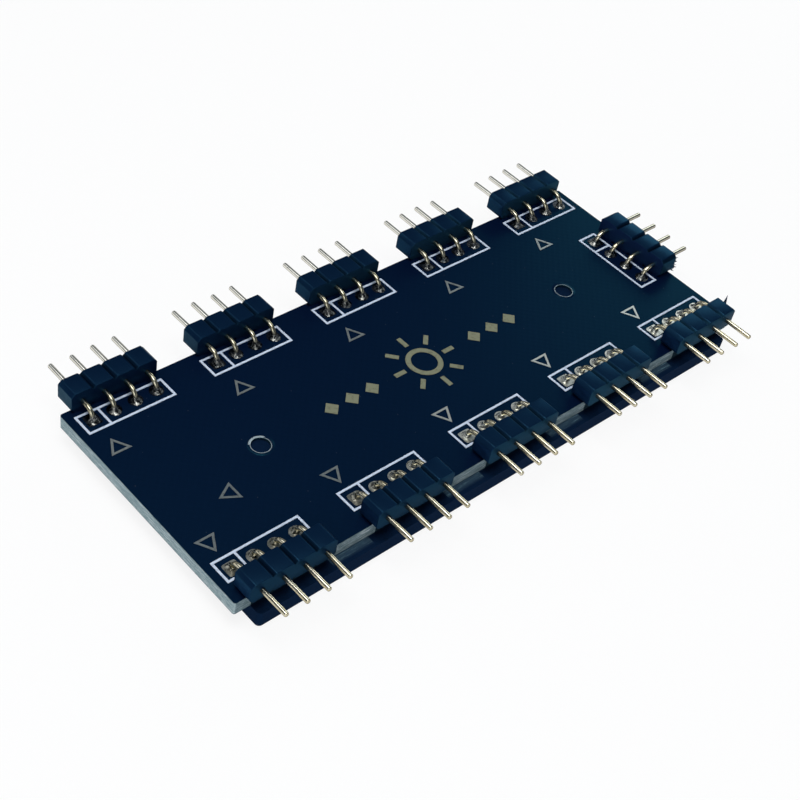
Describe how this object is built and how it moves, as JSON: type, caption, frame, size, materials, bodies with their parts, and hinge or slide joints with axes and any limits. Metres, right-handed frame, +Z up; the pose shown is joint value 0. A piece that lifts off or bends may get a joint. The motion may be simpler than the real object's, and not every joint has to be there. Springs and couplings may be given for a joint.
{
  "type": "rgb lighting hub",
  "caption": "Flat black circuit board with rows of right-angle pin headers along its long edges and a single one at one end, which splits one lighting lead into many.",
  "frame": {"origin": "middle of the backing plate's underside", "axes": "+X along the board towards the edge with the single header, +Y towards the back edge, +Z up out of the board's printed face"},
  "size_m": [0.0773, 0.0385, 0.0061],
  "materials": {
    "plate_plastic": "fine matt",
    "board_laminate": "satin coating on laminate, bare at the edges",
    "housing_plastic": "matt",
    "pin_gold": "gold plated",
    "solder": "bright, uneven",
    "white_ink": "matt ink",
    "tan_ink": "matt ink"
  },
  "bodies": {
    "root": {"backing_plate": "plate_plastic", "circuit_board": "board_laminate", "header_housing_back_1": "housing_plastic", "header_housing_back_2": "housing_plastic", "header_housing_back_3": "housing_plastic", "header_housing_back_4": "housing_plastic", "header_housing_back_5": "housing_plastic", "header_housing_front_1": "housing_plastic", "header_housing_front_2": "housing_plastic", "header_housing_front_3": "housing_plastic", "header_housing_front_4": "housing_plastic", "header_housing_front_5": "housing_plastic", "header_housing_right": "housing_plastic", "header_pins_back_1": "pin_gold", "header_pins_back_2": "pin_gold", "header_pins_back_3": "pin_gold", "header_pins_back_4": "pin_gold", "header_pins_back_5": "pin_gold", "header_pins_front_1": "pin_gold", "header_pins_front_2": "pin_gold", "header_pins_front_3": "pin_gold", "header_pins_front_4": "pin_gold", "header_pins_front_5": "pin_gold", "header_pins_right": "pin_gold", "solder_joints_back": "solder", "solder_joints_front": "solder", "solder_joints_right": "solder", "printed_outlines": "white_ink", "printed_triangles": "tan_ink"}
  },
  "joints": []
}
